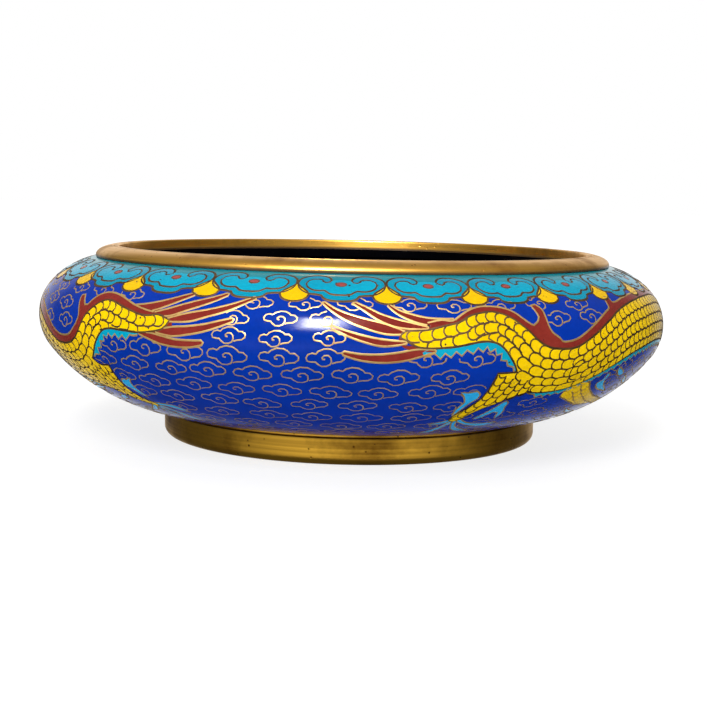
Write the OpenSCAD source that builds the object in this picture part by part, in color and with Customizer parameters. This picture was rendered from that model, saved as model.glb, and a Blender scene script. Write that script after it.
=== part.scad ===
// Low cloisonne bowl vase: a raised copper bowl with enamelled walls, a brass mouth rim and a brass foot.
// Millimetres, +Z up, origin at the centre of the foot's resting face. The front faces -Y.

/* [Bowl] */
// Largest diameter, over the enamel
bowl_d = 200; // [180:1:220]
// Height of the widest point above the resting face
girth_z = 39; // [38:0.5:41]
// Radius of the tight arc at the girth
belly_arc = 15.5; // [14:0.5:17]
// Radius of the arc that turns in over the shoulder
shoulder_arc = 25; // [24:0.5:26]
// Radius of the long arc that runs down to the foot
lower_arc = 54; // [53:0.5:54.5]
// Thickness of the outer enamel
glaze_t = 1.2; // [0.8:0.1:1.5]
// Thickness of the raised copper
copper_t = 1.2; // [0.9:0.1:1.6]
// Thickness of the dark enamel inside
lining_t = 0.6; // [0.4:0.1:0.8]

/* [Mouth rim] */
// Outer diameter of the brass mouth rim
rim_d = 165.2; // [163:0.2:167]
// Bore through the mouth rim
mouth_d = 151; // [150:0.5:152]
// Height of the mouth rim above the resting face
rim_top = 60.5; // [60:0.1:61.5]

/* [Foot] */
// Outer diameter of the foot ring
foot_d = 121; // [119:0.5:122]
// Wall of the foot ring
foot_wall = 4; // [3:0.5:5]
// Rounding of the foot ring's lower outer edge
foot_round = 2.5; // [1:0.5:3]

/* [Decoration] */
// Number of cloud-collar lappets on the shoulder
lappet_count = 24; // [20:1:26]
// Thickness of the coloured cells and wires that lie on the blue ground
relief = 0.25; // [0.2:0.05:0.4]
// Width of the brass wires
wire_w = 0.5; // [0.4:0.1:0.8]
// Place of the two dragons' meeting line round the girth
meeting_u = -20; // [-30:1:30]
// Distance from the meeting line to each tail tip
tail_gap = 32; // [28:1:36]

/* [Hidden] */
$fn = 96;

bowl_r = bowl_d / 2;
foot_r = foot_d / 2;
rim_r = rim_d / 2;
mouth_r = mouth_d / 2;

// The wall's outline is three arcs that run into each other: shoulder, belly and lower wall.
belly_up = 45;
belly_down = 38;
belly_c = [bowl_r - belly_arc, girth_z];
shoulder_c = belly_c - (shoulder_arc - belly_arc) * [cos(belly_up), sin(belly_up)];
lower_c = belly_c - (lower_arc - belly_arc) * [cos(belly_down), -sin(belly_down)];
base_z = lower_c[1] - lower_arc;
wall_edge_r = shoulder_c[0];
foot_top = base_z - 0.4;
foot_neck_r = foot_r - 1;
wall_t = glaze_t + copper_t + lining_t;
copper_base_z = base_z + glaze_t;
solder_gap = 0.4;
collar_s = 24.7;

// Flat facets stay this far off the curved ground, and off each other
clear = 0.1;
upper = 2 * clear + relief;

// Arc length along the outline, measured from the girth: up is positive.
belly_up_len = belly_arc * belly_up * PI / 180;
belly_down_len = belly_arc * belly_down * PI / 180;

function degrees(length, radius) = length / radius * 180 / PI;
function polar(centre, radius, angle) = centre + radius * [cos(angle), sin(angle)];

// A point of the outline at arc length s, lifted off the enamel: [radius, height]
function outline(s, lift = 0) =
    s > belly_up_len
        ? polar(shoulder_c, shoulder_arc + lift, belly_up + degrees(s - belly_up_len, shoulder_arc))
        : s < -belly_down_len
            ? polar(lower_c, lower_arc + lift, -belly_down + degrees(s + belly_down_len, lower_arc))
            : polar(belly_c, belly_arc + lift, degrees(s, belly_arc));

// A point of the wall: u runs round the girth from the front, s up the outline
function on_wall(u, s, lift = 0) =
    let (p = outline(s, lift), a = degrees(u, bowl_r))
    [p[0] * sin(a), -p[0] * cos(a), p[1]];

// A smooth curve through rows of numbers, with n steps between neighbours
function blend_row(a, b, c, d, t) =
    0.5 * (2 * b + (c - a) * t + (2 * a - 5 * b + 4 * c - d) * t * t + (3 * b - a - 3 * c + d) * t * t * t);
function smooth(rows, n) =
    let (last = len(rows) - 1)
    [for (i = [0 : last - 1], k = [0 : i == last - 1 ? n : n - 1])
        blend_row(rows[max(i - 1, 0)], rows[i], rows[i + 1], rows[min(i + 2, last)], k / n)];

// A solid sheet on the wall between two edges of equal length, each a list of [u, s]
module sheet(left, right, across, low, high) {
    rows = len(left);
    per_row = 2 * (across + 1);
    points = [for (i = [0 : rows - 1], lift = [low, high], k = [0 : across])
        let (p = left[i] + (right[i] - left[i]) * k / across) on_wall(p[0], p[1], lift)];
    inner = [for (i = [0 : rows - 2], k = [0 : across - 1])
        let (a = i * per_row + k) [a, a + 1, a + per_row + 1, a + per_row]];
    outer = [for (i = [0 : rows - 2], k = [0 : across - 1])
        let (a = i * per_row + across + 1 + k) [a, a + per_row, a + per_row + 1, a + 1]];
    edges = [for (i = [0 : rows - 2], side = [0, across])
        let (a = i * per_row + side, b = a + across + 1)
        side == 0 ? [a, a + per_row, b + per_row, b] : [a, b, b + per_row, a + per_row]];
    ends = [for (row = [0, rows - 1], k = [0 : across - 1])
        let (a = row * per_row + k, b = a + across + 1)
        row == 0 ? [a, b, b + 1, a + 1] : [a, a + 1, b + 1, b]];
    polyhedron(points, concat(inner, outer, edges, ends));
}

// The edges of a band that follows rows of [u, s, half width]
function heading(rows, i) =
    let (d = rows[min(i + 1, len(rows) - 1)] - rows[max(i - 1, 0)]) [d[0], d[1]] / norm([d[0], d[1]]);
function edge(rows, side) =
    [for (i = [0 : len(rows) - 1])
        let (h = heading(rows, i)) [rows[i][0], rows[i][1]] + side * rows[i][2] * [-h[1], h[0]]];
module band(rows, across = 1, low = clear) {
    sheet(edge(rows, 1), edge(rows, -1), across, low, low + relief);
}
module wire(route, low = clear) {
    band([for (p = route) [p[0], p[1], wire_w / 2]], 1, low);
}

// ---- the turned bowl ----

// Half section of everything inside the wall's outline, moved in by t
module section(t) {
    top = shoulder_c[1] + shoulder_arc - t;
    far = 60;
    arc_fn = 240;
    intersection() {
        translate(belly_c) circle(belly_arc - t, $fn = arc_fn);
        polygon([belly_c, polar(belly_c, far, -belly_down), polar(belly_c, far, belly_up)]);
    }
    intersection() {
        translate(shoulder_c) circle(shoulder_arc - t, $fn = arc_fn);
        polygon([shoulder_c, polar(shoulder_c, far, belly_up), [bowl_r, bowl_r], [wall_edge_r, bowl_r]]);
    }
    intersection() {
        translate(lower_c) circle(lower_arc - t, $fn = arc_fn);
        polygon([[lower_c[0], girth_z], belly_c, polar(belly_c, far, -belly_down),
            [bowl_r, 0], [lower_c[0], 0]]);
    }
    polygon([[0, base_z + t], [lower_c[0], base_z + t], [lower_c[0], girth_z],
        [wall_edge_r, girth_z], [wall_edge_r, top], [0, top]]);
}

// One layer of the wall, between two depths, open at the mouth
module wall_layer(outer_t, inner_t, inner_r = 0) {
    rotate_extrude() difference() {
        section(outer_t);
        section(inner_t);
        translate([0, girth_z]) square([wall_edge_r, bowl_r]);
        if (inner_r > 0) square([inner_r, base_z + wall_t]);
    }
}

module copper_bowl() {
    color("#b5653a") wall_layer(glaze_t, glaze_t + copper_t);
}

module inner_enamel() {
    color("#0b1020") wall_layer(glaze_t + copper_t, wall_t);
}

module ground_enamel() {
    color("#0a2fa0") wall_layer(0, glaze_t, foot_neck_r);
}

// Brass ring: a sleeve lines the mouth and a lip laps over the enamel's edge. The lip falls away outwards in
// a rounded slope and is widest at its lower edge.
module mouth_rim() {
    edge_z = shoulder_c[1] + shoulder_arc;
    lip_h = rim_top - edge_z;
    slope = 6.7;
    groove_r = 77.3;
    groove = 0.35;
    color("#c89a3a") rotate_extrude() {
        translate([mouth_r, edge_z - wall_t])
            square([wall_edge_r - solder_gap - mouth_r, wall_t + lip_h]);
        difference() {
            union() {
                translate([mouth_r, edge_z - 1]) square([rim_r - slope - mouth_r, lip_h + 1]);
                translate([rim_r - slope, edge_z]) intersection() {
                    scale([slope, lip_h]) circle(1);
                    square([slope, lip_h]);
                }
                translate([rim_r - slope, edge_z - 1]) square([slope - 0.6, 2]);
            }
            section(0);
            translate([groove_r, rim_top - 0.08]) circle(groove);
        }
    }
}

module rim_solder() {
    top = shoulder_c[1] + shoulder_arc;
    color("#b9b3a2") rotate_extrude()
        translate([wall_edge_r - solder_gap, top - wall_t]) square([solder_gap, wall_t]);
}

// Plain brass ring with a rounded lower edge; its neck is butted against the copper
module foot_ring() {
    inner_r = foot_r - foot_wall;
    color("#9c7426") rotate_extrude() difference() {
        union() {
            translate([inner_r, 0]) square([foot_wall - foot_round, girth_z / 2]);
            translate([foot_r - foot_round, foot_round]) circle(foot_round);
            translate([inner_r + 1, foot_round]) square([foot_wall - 1, foot_top - foot_round]);
            translate([inner_r + 1, foot_round]) square([foot_neck_r - inner_r - 1, girth_z / 2]);
        }
        section(glaze_t);
        translate([0, copper_base_z + 1]) square([foot_r + 1, girth_z]);
    }
}

module foot_solder() {
    leg = 1.2;
    inner_r = foot_r - foot_wall;
    color("#b9b3a2") rotate_extrude() difference() {
        polygon([[inner_r - leg, copper_base_z + 0.3], [inner_r - leg, copper_base_z],
            [inner_r, copper_base_z - leg], [inner_r, copper_base_z + 0.3]]);
        section(glaze_t);
    }
}

module base_enamel() {
    lining = 0.6;
    color("#1b2a4a") translate([0, 0, copper_base_z - lining]) cylinder(h = lining, r = foot_r - foot_wall - 1.2);
}

// ---- shoulder border ----

lappet_pitch = 2 * PI * bowl_r / lappet_count;
lappet_u0 = -3.1;
function lappet_u(k) = lappet_u0 + k * lappet_pitch;

// Teal band between the lappets and the mouth rim
module collar_enamel() {
    low_r = outline(collar_s)[0];
    color("#0f8f9c") rotate_extrude() difference() {
        section(-relief);
        section(0);
        square([rim_r + 0.3, bowl_r]);
        translate([low_r, 0]) square([bowl_r, bowl_r]);
        square([bowl_r + 1, girth_z]);
    }
}

// A flat leaf that hangs down the wall at u, from rows of [half width, s]
module leaf(u, rows, across) {
    sheet([for (p = rows) [u + p[0], p[1]]], [for (p = rows) [u - p[0], p[1]]], across, clear, clear + relief);
}

// A lappet's half widths as shares of the pitch, from its top edge down to its middle lobe
lappet_half = [[0.49, 24.4], [0.49, 20], [0.43, 17.6], [0.27, 16.2], [0.24, 14.9], [0.16, 13.7], [0.05, 13.3]];
module lappet_enamel() {
    color("#16a9c4") for (k = [0 : lappet_count - 1])
        leaf(lappet_u(k), [for (p = lappet_half) [p[0] * lappet_pitch, p[1]]], 4);
}

// Yellow drop under each joint between two lappets: [half width, s]
pendant_half = [[0.4, 17.5], [2.6, 16.2], [3.8, 15], [3, 13.6], [1, 12.7]];
module pendants() {
    color("#e8c21a") for (k = [0 : lappet_count - 1])
        leaf(lappet_u(k + 0.5), pendant_half, 1);
}

module coral_dots() {
    dot_s = 20.5;
    dot_r = 1.4;
    place = outline(dot_s, upper);
    tilt = 90 - belly_up - degrees(dot_s - belly_up_len, shoulder_arc);
    color("#c05048") for (k = [0 : lappet_count - 1])
        rotate([0, 0, degrees(lappet_u(k), bowl_r) - 90])
            translate([place[0], 0, place[1]]) rotate([0, tilt, 0]) cylinder(h = relief, r = dot_r, $fn = 32);
}

// Inner outline of a lappet's half, which starts in an inward curl: [u, s]
lappet_line = [[4.4, 21.8], [5.6, 23.6], [8.4, 23.6], [9.8, 21.3], [8.2, 18.8], [5.6, 17.6], [3.8, 15.4], [0.4, 14.8]];
module lappet_wires() {
    color("#8a6430") for (k = [0 : lappet_count - 1], side = [-1, 1])
        wire([for (p = lappet_line) [lappet_u(k) + side * p[0], p[1]]], upper);
}

// ---- scroll clouds ----

clouds_per_row = 5;
cloud_pitch = 11;
cloud_row_s = [-9, -14, -19, -24];
// One scroll cloud about its own middle: [u, s]
cloud_line = [[-4.4, -1.8], [-4.6, 0.2], [-2.4, 0.8], [0, 2.4], [2.2, 1], [4.6, 0.4], [4, -1.8], [-1, -2], [-1.4, -0.2], [0.6, 0.4]];
module cloud_wires() {
    back_u = meeting_u + PI * bowl_r;
    color("#a57c3c") for (middle = [meeting_u, back_u], row = [0 : len(cloud_row_s) - 1], k = [1 : clouds_per_row]) {
        s = cloud_row_s[row];
        stretch = bowl_r / outline(s)[0];
        u = middle + (k - (clouds_per_row + 1) / 2 + (row % 2 - 0.5) / 2) * cloud_pitch * stretch;
        wire([for (p = cloud_line) [u + p[0] * stretch, s + p[1]]]);
    }
}

// ---- dragons ----

// Routes are [d, s, half width]: d runs from the tail tip round the girth to the head.
body_route = [
    [0, 3.2, 1.2], [8, 2.4, 2.2], [16, 3.6, 3], [24, 5, 4.2], [31, 3, 5.2], [38, -3, 6.2],
    [48, -8, 7], [58, -7.6, 7.2], [68, -3, 7.2], [78, 1, 7.2], [90, 3.6, 7], [106, 4.8, 6.6],
    [122, 4, 6.6], [138, -1, 6.8], [152, -7, 7], [168, -9.6, 7], [184, -7, 7], [198, -1, 6.6],
    [210, 2.4, 6], [222, 2.4, 5.6]
];
head_route = [[224, 2.4, 6], [230, 3, 7.2], [237, 3.4, 7.4], [244, 2.6, 5.6], [251, 2.6, 5], [257, 3.4, 4.6], [260, 4, 2.4]];
leg_routes = [
    [[36, -11.5, 5.6], [33.5, -18, 4.2], [29, -23, 2.6], [25, -28, 1.8]],
    [[58, -17, 1.4], [65, -18.6, 2.6], [75, -21.6, 2.6], [87, -24.6, 2], [98, -27.4, 1.2]],
    [[168, -14, 5], [163, -20, 3.8], [157, -25, 2.4], [153, -29, 1.6]],
    [[190, -10, 4.6], [199, -15, 3.8], [209, -19, 2.6], [217, -22, 1.6]]
];
hair_routes = [
    [[-22, 12.6, 0.2], [-15, 9, 0.8], [-7, 6.6, 0.9], [-1.5, 4.6, 0.9]],
    [[-14, 13, 0.2], [-8, 9.6, 0.8], [-1, 7, 0.9], [4, 6.2, 0.9]],
    [[-5, 12.8, 0.2], [0, 9.4, 0.8], [6, 7.4, 0.9], [11, 7.4, 0.8]],
    [[-18, 5.8, 0.2], [-12, 4, 0.8], [-6, 3, 0.9], [-1.5, 2.8, 0.9]],
    [[-13, -1, 0.2], [-8, -2.6, 0.8], [-1, -2.2, 0.9], [5, -1.2, 0.8]]
];
mane_routes = [
    [[222, 9.4, 1.6], [214, 11, 1.4], [205, 10, 0.3]],
    [[229, 11.6, 1.4], [221, 13, 1], [214, 13, 0.3]],
    [[224, -4.6, 1.6], [216, -7, 1.4], [208, -5.6, 0.3]],
    [[231, -6, 1.6], [224, -11, 1.2], [217, -12, 0.3]],
    [[262, 5.4, 0.8], [267, 8, 0.6], [272, 12, 0.2]],
    [[260, 0, 0.8], [266, -4, 0.6], [270, -9, 0.2]]
];
claw_length = 7;
claw_w = 1;

// From a dragon's own d and s to the wall's u and s; side is 1 for east and -1 for west
function lay(rows, side) =
    [for (p = rows) [meeting_u + side * (tail_gap + p[0]), p[1], p[2]]];
function body_rows(side) = lay(smooth(body_route, 2), side);

// A strip along one edge of the body, from in to out beyond it; up is 1 for the back, -1 for the belly
function spread(rows, extra) = [for (i = [0 : len(rows) - 1]) [rows[i][0], rows[i][1], rows[i][2] + extra[i]]];
module trim(side, up, first, last, out) {
    all = body_rows(side);
    rows = [for (i = [first : last]) all[i]];
    near = edge(spread(rows, [for (i = rows) clear]), side * up);
    far = edge(spread(rows, out), side * up);
    sheet(side * up > 0 ? far : near, side * up > 0 ? near : far, 1, clear, clear + relief);
}

module dragon_scales(side) {
    color("#e6c41c") band(body_rows(side), 5);
}

// Red fin along the back, with a spike at every sixth row
module dragon_fin(side) {
    first = 5;
    last = 36;
    color("#a83232") trim(side, 1, first, last, [for (i = [first : last]) i % 6 == 5 ? 4.6 : 2]);
}

// Zigzag fringes under the belly
module dragon_fringe(side) {
    color("#2bb4d8") for (span = [[4, 9], [12, 30]])
        trim(side, -1, span[0], span[1], [for (i = [span[0] : span[1]]) i % 2 == 0 ? 2 : 1]);
}

module dragon_tail_hair(side) {
    color("#a83232") for (route = hair_routes) band(lay(smooth(route, 2), side), 1);
}

module dragon_legs(side) {
    color("#e6c41c") for (route = leg_routes) band(lay(smooth(route, 2), side), 2, upper);
}

// Four claws fan out from the end of each leg
module dragon_claws(side) {
    color("#35b6e0") for (route = leg_routes) {
        toe = route[len(route) - 1];
        ahead = toe - route[len(route) - 2];
        start = atan2(ahead[1], ahead[0]);
        for (turn = [-60, -20, 20, 60]) {
            way = [cos(start + turn), sin(start + turn)];
            band(lay([for (step = [0.3, 0.65, 1]) [toe[0] + way[0] * claw_length * step,
                toe[1] + way[1] * claw_length * step, claw_w * (1.15 - step)]], side));
        }
    }
}

module dragon_head(side) {
    color("#e6c41c") band(lay(smooth(head_route, 2), side), 5, upper);
}

// Red mane, beard and whiskers round the head
module dragon_mane(side) {
    color("#a83232") for (route = mane_routes) band(lay(smooth(route, 2), side));
}

// Outline wires along the back and the belly
module dragon_wires(side) {
    rows = body_rows(side);
    color("#8a6430") for (up = [-1, 1]) wire(edge(rows, up), upper);
}

module east_scales() { dragon_scales(1); }
module east_fin() { dragon_fin(1); }
module east_fringe() { dragon_fringe(1); }
module east_tail_hair() { dragon_tail_hair(1); }
module east_legs() { dragon_legs(1); }
module east_claws() { dragon_claws(1); }
module east_head() { dragon_head(1); }
module east_mane() { dragon_mane(1); }
module east_wires() { dragon_wires(1); }
module west_scales() { dragon_scales(-1); }
module west_fin() { dragon_fin(-1); }
module west_fringe() { dragon_fringe(-1); }
module west_tail_hair() { dragon_tail_hair(-1); }
module west_legs() { dragon_legs(-1); }
module west_claws() { dragon_claws(-1); }
module west_head() { dragon_head(-1); }
module west_mane() { dragon_mane(-1); }
module west_wires() { dragon_wires(-1); }

// ---- pearl between the two heads ----

pearl_r = 5;
module pearl() {
    color("#d8483c") rotate([0, 0, degrees(meeting_u, bowl_r) + 90])
        translate([bowl_r + clear, 0, girth_z]) rotate([0, 90, 0]) cylinder(h = relief, r = pearl_r);
}

module pearl_flames() {
    middle = meeting_u + PI * bowl_r;
    flame_length = 8;
    color("#a83232") for (turn = [30 : 60 : 330]) {
        way = [cos(turn), sin(turn)];
        band([for (step = [0, 0.5, 1]) [middle + way[0] * (pearl_r + 1 + flame_length * step),
            way[1] * (pearl_r + 1 + flame_length * step), 1.6 * (1.1 - step)]]);
    }
}

copper_bowl();
mouth_rim();
rim_solder();
foot_ring();
foot_solder();
inner_enamel();
base_enamel();
ground_enamel();
collar_enamel();
lappet_enamel();
coral_dots();
pendants();
lappet_wires();
cloud_wires();
east_scales();
east_fin();
east_fringe();
east_tail_hair();
east_legs();
east_claws();
east_head();
east_mane();
east_wires();
west_scales();
west_fin();
west_fringe();
west_tail_hair();
west_legs();
west_claws();
west_head();
west_mane();
west_wires();
pearl();
pearl_flames();
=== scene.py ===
import math
import random

import bpy
import numpy as np
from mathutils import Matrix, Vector, noise


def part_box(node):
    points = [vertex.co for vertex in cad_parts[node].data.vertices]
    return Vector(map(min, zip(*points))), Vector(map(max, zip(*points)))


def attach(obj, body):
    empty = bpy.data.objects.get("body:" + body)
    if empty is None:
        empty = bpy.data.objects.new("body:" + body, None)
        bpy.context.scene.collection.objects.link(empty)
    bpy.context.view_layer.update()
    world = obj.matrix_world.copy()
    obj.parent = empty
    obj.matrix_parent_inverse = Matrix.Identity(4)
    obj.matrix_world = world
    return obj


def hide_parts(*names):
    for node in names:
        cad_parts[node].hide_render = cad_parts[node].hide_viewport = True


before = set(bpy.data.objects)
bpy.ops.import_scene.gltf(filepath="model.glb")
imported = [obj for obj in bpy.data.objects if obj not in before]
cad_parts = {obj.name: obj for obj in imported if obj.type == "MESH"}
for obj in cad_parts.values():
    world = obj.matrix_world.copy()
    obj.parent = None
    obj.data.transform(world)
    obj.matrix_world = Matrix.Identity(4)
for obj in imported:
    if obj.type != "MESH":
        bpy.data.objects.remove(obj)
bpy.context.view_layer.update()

# ---- Blue ground -------------------------------------------------------------------------------------------
# Cobalt-blue enamel fired over the whole outside of the raised copper bowl, then ground and polished to a gloss.
# The wall's outline is three arcs that run into each other: shoulder, belly and lower wall. All in millimetres.
MM = 0.001
BOWL_R = 100.0
GIRTH_Z = 39.0
BELLY_ARC, SHOULDER_ARC, LOWER_ARC = 15.5, 25.0, 54.0
BELLY_UP, BELLY_DOWN = math.radians(45), math.radians(38)
FOOT_R = 60.5
RIM_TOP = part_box("mouth_rim")[1].z / MM


def outline(s, lift=0.0):
    """Radius, height and outward lean of the wall at s mm up from the girth and lift mm off the enamel."""
    s = np.asarray(s, float)
    above, below = s - BELLY_ARC * BELLY_UP, s + BELLY_ARC * BELLY_DOWN
    shoulder, lower = above > 0, below < 0
    lean = s / BELLY_ARC
    lean = np.where(shoulder, BELLY_UP + above / SHOULDER_ARC, lean)
    lean = np.where(lower, -BELLY_DOWN + below / LOWER_ARC, lean)
    arc = np.where(shoulder, SHOULDER_ARC, np.where(lower, LOWER_ARC, BELLY_ARC))
    anchor = np.where(shoulder, BELLY_UP, np.where(lower, -BELLY_DOWN, 0.0))
    centre_r = BOWL_R - BELLY_ARC - (arc - BELLY_ARC) * np.cos(anchor)
    centre_z = GIRTH_Z - (arc - BELLY_ARC) * np.sin(anchor)
    return centre_r + (arc + lift) * np.cos(lean), centre_z + (arc + lift) * np.sin(lean), lean


def choose(piece):
    bpy.ops.object.select_all(action="DESELECT")
    piece.select_set(True)
    bpy.context.view_layer.objects.active = piece


def meshed(name, curve):
    """Puts a curve in the scene and turns it into a mesh."""
    piece = bpy.data.objects.new(name, curve)
    bpy.context.collection.objects.link(piece)
    choose(piece)
    bpy.ops.object.convert(target="MESH")
    return piece


def turned(name, section, steps=240):
    """Spins a closed half section, (radius, height) points in mm, round the bowl's axis."""
    curve = bpy.data.curves.new(name, "CURVE")
    curve.dimensions = "3D"
    line = curve.splines.new("POLY")
    line.points.add(len(section) - 1)
    for point, (radius, height) in zip(line.points, section):
        point.co = (radius * MM, 0, height * MM, 1)
    line.use_cyclic_u = True
    piece = meshed(name, curve)
    bpy.ops.object.mode_set(mode="EDIT")
    bpy.ops.mesh.select_all(action="SELECT")
    bpy.ops.mesh.spin(steps=steps, angle=math.tau, center=(0, 0, 0), axis=(0, 0, 1))
    bpy.ops.mesh.select_all(action="SELECT")
    bpy.ops.mesh.remove_doubles(threshold=2e-6)
    bpy.ops.mesh.normals_make_consistent(inside=False)
    bpy.ops.object.mode_set(mode="OBJECT")
    bpy.ops.object.shade_smooth_by_angle(angle=math.radians(40))
    return piece


def node(tree, kind, inputs=None, **settings):
    """Adds a shader node; inputs hold values or the sockets that feed them."""
    made = tree.nodes.new(kind)
    for key, value in settings.items():
        setattr(made, key, value)
    for key, value in (inputs or {}).items():
        if isinstance(value, bpy.types.NodeSocket):
            tree.links.new(value, made.inputs[key])
        else:
            made.inputs[key].default_value = value
    return made


def shader_group(name, inputs, outputs):
    """An empty node group with the named sockets, and its input and output nodes."""
    group = bpy.data.node_groups.new(name, "ShaderNodeTree")
    for label, kind in inputs:
        group.interface.new_socket(label, in_out="INPUT", socket_type="NodeSocket" + kind)
    for label, kind in outputs:
        group.interface.new_socket(label, in_out="OUTPUT", socket_type="NodeSocket" + kind)
    return group, node(group, "NodeGroupInput"), node(group, "NodeGroupOutput")


def ramp(tree, factor, low, high):
    """Factor stretched so that low becomes 0 and high becomes 1."""
    return node(tree, "ShaderNodeMapRange", {"Value": factor, "From Min": low, "From Max": high}).outputs[0]


def maths(tree, operation, a, b):
    return node(tree, "ShaderNodeMath", {0: a, 1: b}, operation=operation).outputs[0]


def mixed(tree, factor, a, b):
    made = node(tree, "ShaderNodeMix", {0: factor}, data_type="RGBA")
    for socket, value in ((made.inputs[6], a), (made.inputs[7], b)):
        if isinstance(value, bpy.types.NodeSocket):
            tree.links.new(value, socket)
        else:
            socket.default_value = value
    return made.outputs[2]


def fired_enamel_group():
    """Cloudy colour, pinholes and the faint ripple of ground and polished enamel."""
    group, given, out = shader_group(
        "fired enamel",
        [("Colour", "Color"), ("Deep", "Color"), ("Pinholes", "Float"), ("Ripple", "Float")],
        [("Colour", "Color"), ("Roughness", "Float"), ("Normal", "Vector")])
    place = node(group, "ShaderNodeTexCoord").outputs["Object"]
    cloud = node(group, "ShaderNodeTexNoise", {"Vector": place, "Scale": 55.0, "Detail": 3.0}).outputs[0]
    grain = node(group, "ShaderNodeTexNoise", {"Vector": place, "Scale": 900.0, "Detail": 2.0}).outputs[0]
    shade = maths(group, "ADD", maths(group, "MULTIPLY", ramp(group, cloud, 0.3, 0.7), 0.6),
                  maths(group, "MULTIPLY", ramp(group, grain, 0.3, 0.7), 0.4))
    body = mixed(group, shade, given.outputs["Deep"], given.outputs["Colour"])
    holes = 0.0
    for scale, size, keep in ((260.0, 0.10, 0.58), (620.0, 0.12, 0.66)):
        cells = node(group, "ShaderNodeTexVoronoi", {"Vector": place, "Scale": scale})
        spot = ramp(group, cells.outputs["Distance"], size, size * 0.55)
        kept = maths(group, "GREATER_THAN", cells.outputs["Color"], keep)
        hole = maths(group, "MULTIPLY", spot, kept)
        holes = maths(group, "MAXIMUM", hole, holes)
    holes = maths(group, "MULTIPLY", holes, given.outputs["Pinholes"])
    speckled = mixed(group, holes, body, (0.004, 0.004, 0.006, 1))
    wave = node(group, "ShaderNodeTexNoise", {"Vector": place, "Scale": 120.0, "Detail": 1.0}).outputs[0]
    height = maths(group, "SUBTRACT", maths(group, "MULTIPLY", wave, given.outputs["Ripple"]), holes)
    relief = node(group, "ShaderNodeBump", {"Height": height, "Strength": 0.35, "Distance": 0.0002})
    rough = maths(group, "ADD", maths(group, "MULTIPLY", cloud, 0.12), maths(group, "MULTIPLY", holes, 0.5))
    group.links.new(speckled, out.inputs["Colour"])
    group.links.new(maths(group, "ADD", rough, 0.09), out.inputs["Roughness"])
    group.links.new(relief.outputs[0], out.inputs["Normal"])
    return group


FIRED_ENAMEL = fired_enamel_group()


def enamel(name, colour, deep, pinholes=1.0, ripple=0.5):
    """A glossy enamel between two colours."""
    material = bpy.data.materials.new(name)
    material.use_nodes = True
    tree = material.node_tree
    fired = node(tree, "ShaderNodeGroup", node_tree=FIRED_ENAMEL)
    fired.inputs["Colour"].default_value = (*colour, 1)
    fired.inputs["Deep"].default_value = (*deep, 1)
    fired.inputs["Pinholes"].default_value = pinholes
    fired.inputs["Ripple"].default_value = ripple
    surface = tree.nodes["Principled BSDF"]
    surface.inputs["IOR"].default_value = 1.40
    surface.inputs["Specular IOR Level"].default_value = 0.19
    for label, socket in (("Colour", "Base Color"), ("Roughness", "Roughness"), ("Normal", "Normal")):
        tree.links.new(fired.outputs[label], surface.inputs[socket])
    return material


def finish_piece(piece, material, slot, *stands_for):
    """Gives a piece its finish, fixes it to the bowl and hides the CAD nodes it stands for."""
    piece.data.materials.clear()
    piece.data.materials.append(material)
    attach(piece, "root")
    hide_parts(*stands_for)


ground_depth = 0.8
lowest_s, highest_s = -52.9, 31.8
outer_s = np.linspace(lowest_s, highest_s, 72)
outer_r, outer_z, _ = outline(outer_s)
inner_r, inner_z, _ = outline(outer_s[::-6], -ground_depth)
ground = turned("blue_ground", list(zip(outer_r, outer_z)) + list(zip(inner_r, inner_z)))
blue = enamel("cobalt blue enamel", (0.0, 0.031, 0.35), (0.0, 0.023, 0.25))
finish_piece(ground, blue, "blue_enamel", "ground_enamel")

# ---- Dark lining and copper --------------------------------------------------------------------------------
# The inside is sealed with a dark counter enamel, and so is the underside of the base inside the foot.
# The lining is painted near black, partly as painted shade deep in the bowl and over the rim's sleeve.
# The copper bowl and the solder seams lie hidden between the enamels and the brass.
lining_face, lining_back = 3.0, 2.45
MOUTH_R = 75.5
# Painted shade: the near-black lining runs up over the brass sleeve inside the mouth, where the mouth lies in shade.
sleeve_cover = (MOUTH_R - 0.15, RIM_TOP - 3.5)
lining_s = np.linspace(-56.0, highest_s, 60)
skin_r, skin_z, _ = outline(lining_s, -lining_face)
back_r, back_z, _ = outline(lining_s[::-4], -lining_back)
lining = turned("dark_lining", [(0, skin_z[0])] + list(zip(skin_r, skin_z)) + [(MOUTH_R - 0.15, skin_z[-1]), sleeve_cover,
                (MOUTH_R + 0.1, sleeve_cover[1])] + list(zip(back_r, back_z)) + [(0, back_z[-1])], 160)
# Near black partly as painted shade for the bowl's dark inside; the rest is the counter enamel's own colour.
lining_enamel = enamel("near black enamel", (0.0015, 0.0015, 0.003), (0.0006, 0.0006, 0.001), 0.6, 1.5)
finish_piece(lining, lining_enamel, "lining", "inner_enamel")
base_material = enamel("base enamel", (0.010, 0.030, 0.110), (0.004, 0.012, 0.05), 1.0, 2.0)


def metal(name, bright, dark, low, high, rough, scale=40.0, pits=0.5, metallic=1.0):
    """Brass or copper: patina clouds between two colours, fine scratches and pits."""
    material = bpy.data.materials.new(name)
    material.use_nodes = True
    tree = material.node_tree
    aged = node(tree, "ShaderNodeGroup", node_tree=AGED_METAL)
    values = {"Bright": (*bright, 1), "Dark": (*dark, 1), "Low": low, "High": high, "Scale": scale,
              "Rough": rough, "Pits": pits}
    for label, value in values.items():
        aged.inputs[label].default_value = value
    surface = tree.nodes["Principled BSDF"]
    surface.inputs["Metallic"].default_value = metallic
    for label, socket in (("Colour", "Base Color"), ("Roughness", "Roughness"), ("Normal", "Normal")):
        tree.links.new(aged.outputs[label], surface.inputs[socket])
    return material


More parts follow.
